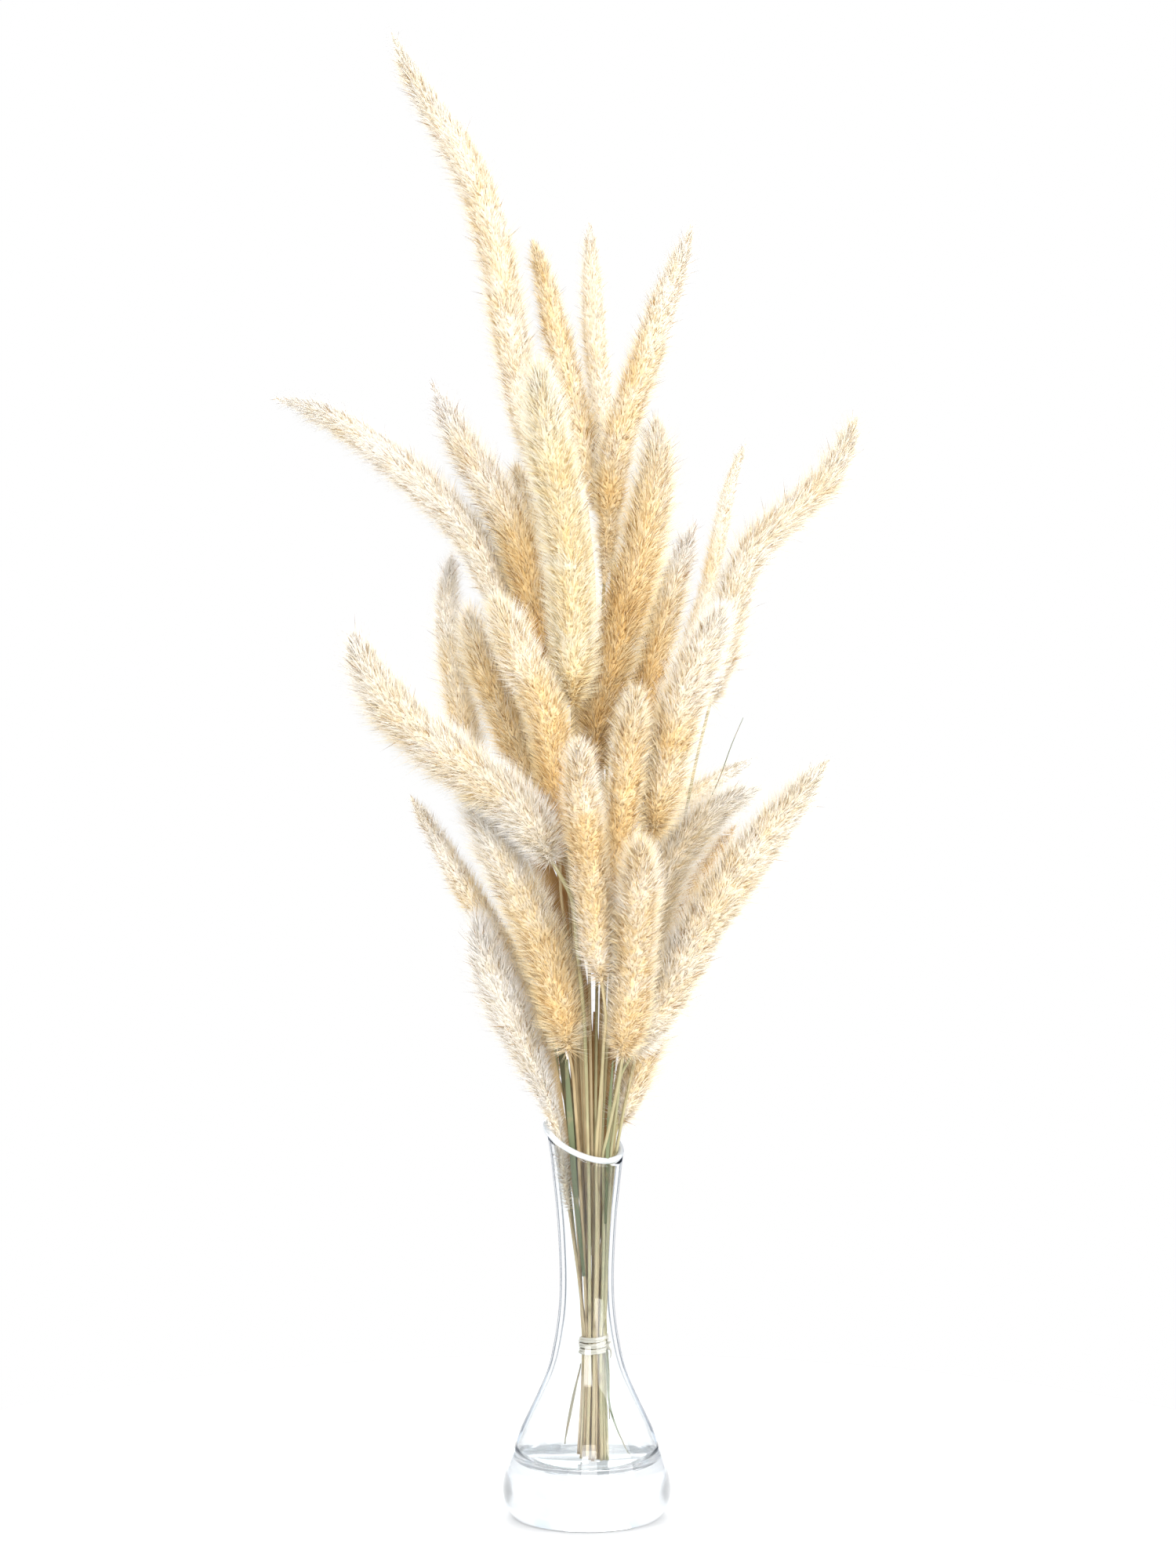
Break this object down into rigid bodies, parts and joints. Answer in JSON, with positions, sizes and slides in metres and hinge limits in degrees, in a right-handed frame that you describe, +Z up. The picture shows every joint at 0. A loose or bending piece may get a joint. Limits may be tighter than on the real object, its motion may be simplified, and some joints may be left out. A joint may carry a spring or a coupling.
{
  "type": "dried bunny tail grass bundle in a glass vase",
  "caption": "Dried grass bunch with long fuzzy seed heads on thin stems, tied with raffia and standing in a clear glass vase, for decorating a table or shelf.",
  "frame": {"origin": "middle of the vase's flat foot, where it rests on a table", "axes": "+Z up along the vase and the bunch, -Y towards the front of the pictured view, +X to its right"},
  "size_m": [0.2915, 0.1828, 0.7282],
  "materials": {
    "clear_glass": "clear, smooth, polished",
    "raffia": "matte, fibrous",
    "dry_stem": "satin, faintly ribbed dry straw",
    "seed_fuzz": "matte, fuzzy bristles",
    "dry_leaf": "matte, finely veined dry blade"
  },
  "bodies": {
    "root": {"vase": "clear_glass", "twine_tie": "raffia", "stem_01": "dry_stem", "stem_02": "dry_stem", "stem_03": "dry_stem", "stem_04": "dry_stem", "stem_05": "dry_stem", "stem_06": "dry_stem", "stem_07": "dry_stem", "stem_08": "dry_stem", "stem_09": "dry_stem", "stem_10": "dry_stem", "stem_11": "dry_stem", "stem_12": "dry_stem", "stem_13": "dry_stem", "stem_14": "dry_stem", "stem_15": "dry_stem", "stem_16": "dry_stem", "stem_17": "dry_stem", "stem_18": "dry_stem", "stem_19": "dry_stem", "stem_20": "dry_stem", "stem_21": "dry_stem", "stem_22": "dry_stem", "stem_23": "dry_stem", "stem_24": "dry_stem", "stem_25": "dry_stem", "stem_26": "dry_stem", "stem_27": "dry_stem", "stem_28": "dry_stem", "seed_head_01": "seed_fuzz", "seed_head_02": "seed_fuzz", "seed_head_03": "seed_fuzz", "seed_head_04": "seed_fuzz", "seed_head_05": "seed_fuzz", "seed_head_06": "seed_fuzz", "seed_head_07": "seed_fuzz", "seed_head_08": "seed_fuzz", "seed_head_09": "seed_fuzz", "seed_head_10": "seed_fuzz", "seed_head_11": "seed_fuzz", "seed_head_12": "seed_fuzz", "seed_head_13": "seed_fuzz", "seed_head_14": "seed_fuzz", "seed_head_15": "seed_fuzz", "seed_head_16": "seed_fuzz", "seed_head_17": "seed_fuzz", "seed_head_18": "seed_fuzz", "seed_head_19": "seed_fuzz", "seed_head_20": "seed_fuzz", "seed_head_21": "seed_fuzz", "seed_head_22": "seed_fuzz", "seed_head_23": "seed_fuzz", "seed_head_24": "seed_fuzz", "seed_head_25": "seed_fuzz", "seed_head_26": "seed_fuzz", "seed_head_27": "seed_fuzz", "seed_head_28": "seed_fuzz", "leaf_blade_neck": "dry_leaf", "leaf_strip_foot": "dry_leaf"}
  },
  "joints": []
}
